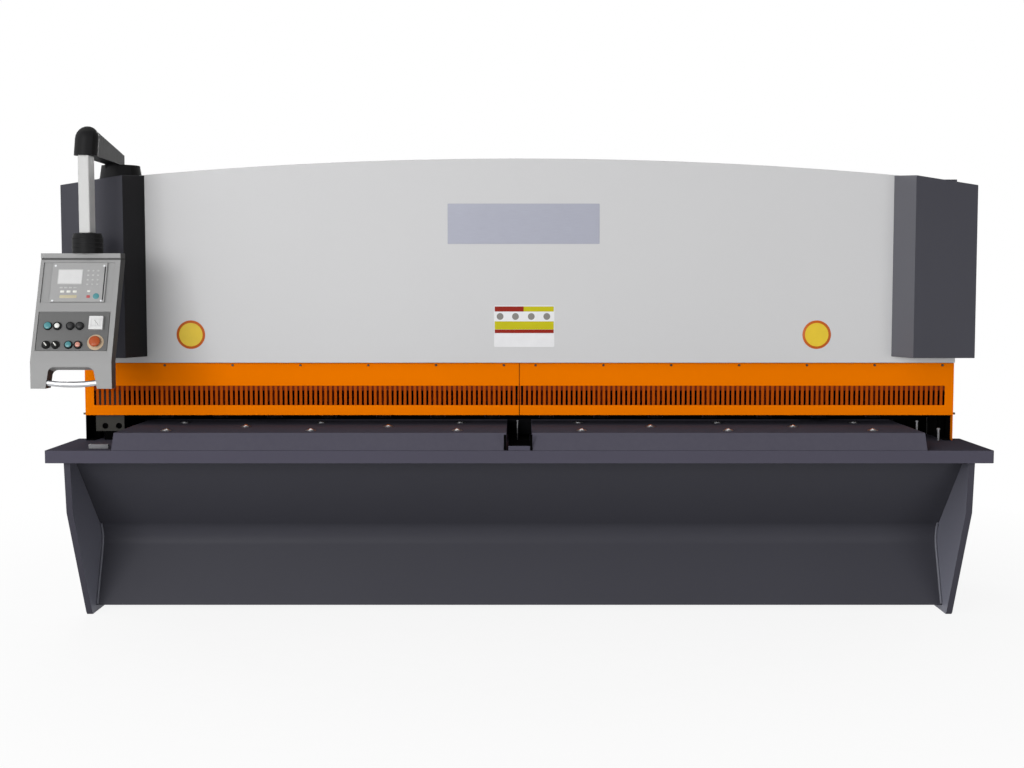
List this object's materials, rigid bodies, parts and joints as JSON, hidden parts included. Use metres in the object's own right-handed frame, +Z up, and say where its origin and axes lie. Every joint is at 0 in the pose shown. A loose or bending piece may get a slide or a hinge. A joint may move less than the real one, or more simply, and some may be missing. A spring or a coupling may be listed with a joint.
{
  "type": "hydraulic guillotine shear",
  "caption": "Hydraulic guillotine shear with ball-transfer table blocks, slotted finger guard, arched front panel and a control pendant on a swinging arm.",
  "frame": {"origin": "on the floor under the middle of the whole machine, pendant and back gauge included", "axes": "+X along the cutting line, to the operator's right; +Y from the operator to the rear; +Z up"},
  "size_m": [4.635, 1.964, 2.463],
  "materials": {
    "frame_paint": "satin dark grey paint",
    "cover_paint": "satin dark grey paint",
    "panel_paint": "satin light grey paint",
    "guard_orange": "satin orange paint",
    "tool_steel": "ground tool steel",
    "bare_steel": "machined steel",
    "black_coat": "satin black",
    "tube_coat": "satin light grey",
    "pendant_grey": "satin mid grey paint",
    "plate_grey": "matt grey",
    "meter_white": "off-white",
    "stop_red": "orange-red",
    "motor_coat": "blue-grey paint"
  },
  "bodies": {
    "frame": {"left_side_frame": "frame_paint", "right_side_frame": "frame_paint", "work_table": "frame_paint", "left_table_block": "frame_paint", "right_table_block": "frame_paint", "notch_tongue": "frame_paint", "table_apron": "frame_paint", "bed_beam": "frame_paint", "lower_blade": "tool_steel", "upper_blade": "tool_steel", "knife_beam": "frame_paint", "left_knife_guide": "bare_steel", "right_knife_guide": "bare_steel", "left_main_cylinder": "frame_paint", "right_main_cylinder": "frame_paint", "hold_down_beam": "frame_paint", "hold_down_bracket": "frame_paint", "left_finger_guard": "guard_orange", "right_finger_guard": "guard_orange", "left_guard_end": "guard_orange", "right_guard_end": "guard_orange", "front_panel": "panel_paint", "left_side_cover": "cover_paint", "right_side_cover": "cover_paint", "top_tie_beam": "frame_paint", "tank_beam": "frame_paint", "rear_tie_beam": "frame_paint", "oil_tank": "panel_paint", "motor": "motor_coat", "oil_pump": "motor_coat", "valve_block": "bare_steel", "left_gauge_arm": "frame_paint", "right_gauge_arm": "frame_paint", "gauge_stop_bar": "bare_steel", "gauge_drive_shaft": "bare_steel", "rear_chute": "frame_paint", "arm_base": "black_coat"},
    "arm": {"swing_arm": "black_coat", "drop_tube": "tube_coat", "pendant_coupler": "black_coat"},
    "pendant": {"pendant_box": "pendant_grey", "pendant_handle": "bare_steel", "shear_controller": "plate_grey", "button_plate": "plate_grey", "power_meter": "meter_white", "stop_button": "stop_red"}
  },
  "joints": [
    {"name": "arm_swing", "type": "hinge", "parent": "frame", "child": "arm", "pos_m": [-2.075, -0.204, 2.252], "axis": [0, 0, 1], "range_deg": [-75, 40]},
    {"name": "pendant_turn", "type": "hinge", "parent": "arm", "child": "pendant", "pos_m": [-2.093, -0.754, 1.854], "axis": [0, 0, 1], "range_deg": [-45, 45]}
  ]
}
